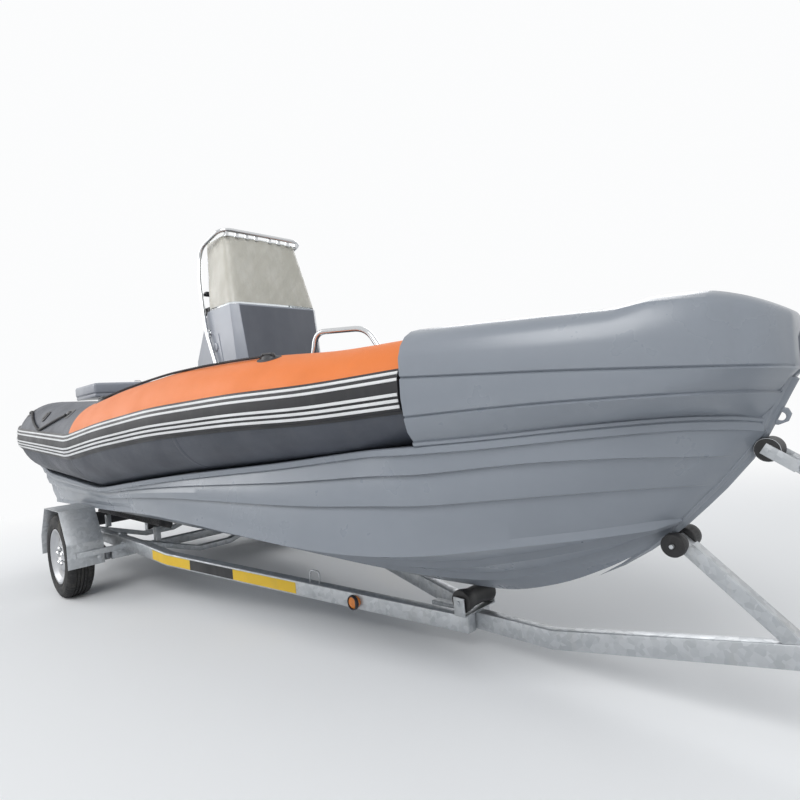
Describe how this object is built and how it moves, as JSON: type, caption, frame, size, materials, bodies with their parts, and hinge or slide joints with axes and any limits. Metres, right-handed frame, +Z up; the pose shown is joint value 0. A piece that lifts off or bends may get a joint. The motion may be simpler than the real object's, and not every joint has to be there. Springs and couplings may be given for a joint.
{
  "type": "rigid inflatable boat with hard bow on road trailer",
  "caption": "Rigid inflatable boat with a lapped-plank hard bow and centre console, standing on a single-axle galvanised road trailer.",
  "frame": {"origin": "on the ground, on the centreline, below the road wheels' axle", "axes": "+X to the bow and the tow coupling, +Y to port, +Z up"},
  "size_m": [6.71, 2.1196, 2.3605],
  "materials": {
    "hull_paint": "satin",
    "deck_grip": "matte non-slip",
    "tube_fabric": "coated fabric, satin",
    "strake_rubber": "satin",
    "black_plastic": "matte",
    "rope": "braided",
    "stainless": "polished",
    "console_paint": "satin gelcoat",
    "filmed_screen": "clear sheet under a protective film",
    "galvanised": "galvanised steel",
    "rim_silver": "silver paint",
    "tyre_rubber": "matte",
    "roller_rubber": "satin",
    "red_lens": "moulded lens",
    "amber_lens": "moulded lens",
    "plate_white": "matte"
  },
  "bodies": {
    "boat_and_trailer": {"hull": "hull_paint", "cockpit_floor": "deck_grip", "transom": "hull_paint", "bow_shell": "hull_paint", "bow_eye": "hull_paint", "tube_starboard": "tube_fabric", "tube_port": "tube_fabric", "strake_starboard": "strake_rubber", "strake_port": "strake_rubber", "tube_fittings_starboard": "black_plastic", "tube_fittings_port": "black_plastic", "lifeline_starboard": "rope", "lifeline_port": "rope", "grab_rail_starboard": "stainless", "grab_rail_port": "stainless", "console": "console_paint", "windscreen": "filmed_screen", "windscreen_rail": "stainless", "stern_locker": "hull_paint", "side_rails": "galvanised", "cross_members": "galvanised", "drawbar": "galvanised", "coupling": "galvanised", "axle_beam": "galvanised", "suspension_arm_starboard": "galvanised", "suspension_arm_port": "galvanised", "fender_starboard": "galvanised", "fender_port": "galvanised", "keel_roller_brackets": "galvanised", "keel_rollers": "roller_rubber", "bunk_supports": "galvanised", "bunks": "roller_rubber", "stem_support": "galvanised", "stem_rollers": "roller_rubber", "winch_post": "galvanised", "bow_stop": "galvanised", "winch_frame": "galvanised", "jockey_clamp": "galvanised", "light_board": "black_plastic", "rear_lamps": "red_lens", "number_plate": "plate_white", "side_lamps": "amber_lens", "lashing_loops": "galvanised"},
    "wheel_starboard": {"rim_starboard": "rim_silver", "tyre_starboard": "tyre_rubber"},
    "wheel_port": {"rim_port": "rim_silver", "tyre_port": "tyre_rubber"},
    "steering_wheel": {"steering_wheel": "black_plastic"},
    "stern_locker_lid": {"stern_locker_lid": "hull_paint"},
    "bow_locker_lid": {"bow_locker_lid": "hull_paint"},
    "winch_drum": {"winch_drum": "galvanised"},
    "jockey_leg": {"jockey_leg": "galvanised"},
    "jockey_fork": {"jockey_fork": "galvanised"},
    "jockey_wheel": {"jockey_wheel": "black_plastic"}
  },
  "joints": [
    {"name": "wheel_starboard_spin", "type": "hinge", "parent": "boat_and_trailer", "child": "wheel_starboard", "pos_m": [0, -0.9225, 0.292], "axis": [0, 1, 0], "continuous": true},
    {"name": "wheel_port_spin", "type": "hinge", "parent": "boat_and_trailer", "child": "wheel_port", "pos_m": [0, 0.9225, 0.292], "axis": [0, 1, 0], "continuous": true},
    {"name": "steering_turn", "type": "hinge", "parent": "boat_and_trailer", "child": "steering_wheel", "pos_m": [0.95, 0, 1.6496], "axis": [-0.9397, 0, 0.342], "range_deg": [-540, 540]},
    {"name": "stern_locker_open", "type": "hinge", "parent": "boat_and_trailer", "child": "stern_locker_lid", "pos_m": [-0.98, 0, 1.4332], "axis": [0, -1, 0], "range_deg": [0, 95]},
    {"name": "bow_locker_open", "type": "hinge", "parent": "boat_and_trailer", "child": "bow_locker_lid", "pos_m": [3.705, 0, 1.413], "axis": [0, 1, 0], "range_deg": [0, 100]},
    {"name": "winch_turn", "type": "hinge", "parent": "boat_and_trailer", "child": "winch_drum", "pos_m": [4.62, 0, 0.722], "axis": [0, 1, 0], "continuous": true},
    {"name": "jockey_slide", "type": "slide", "parent": "boat_and_trailer", "child": "jockey_leg", "axis": [0, 0, 1], "range_m": [-0.06, 0.06]},
    {"name": "jockey_swivel", "type": "hinge", "parent": "jockey_leg", "child": "jockey_fork", "pos_m": [4.9, -0.072, 0.25], "axis": [0, 0, 1], "continuous": true},
    {"name": "jockey_spin", "type": "hinge", "parent": "jockey_fork", "child": "jockey_wheel", "pos_m": [4.86, -0.072, 0.1], "axis": [0, 1, 0], "continuous": true}
  ]
}
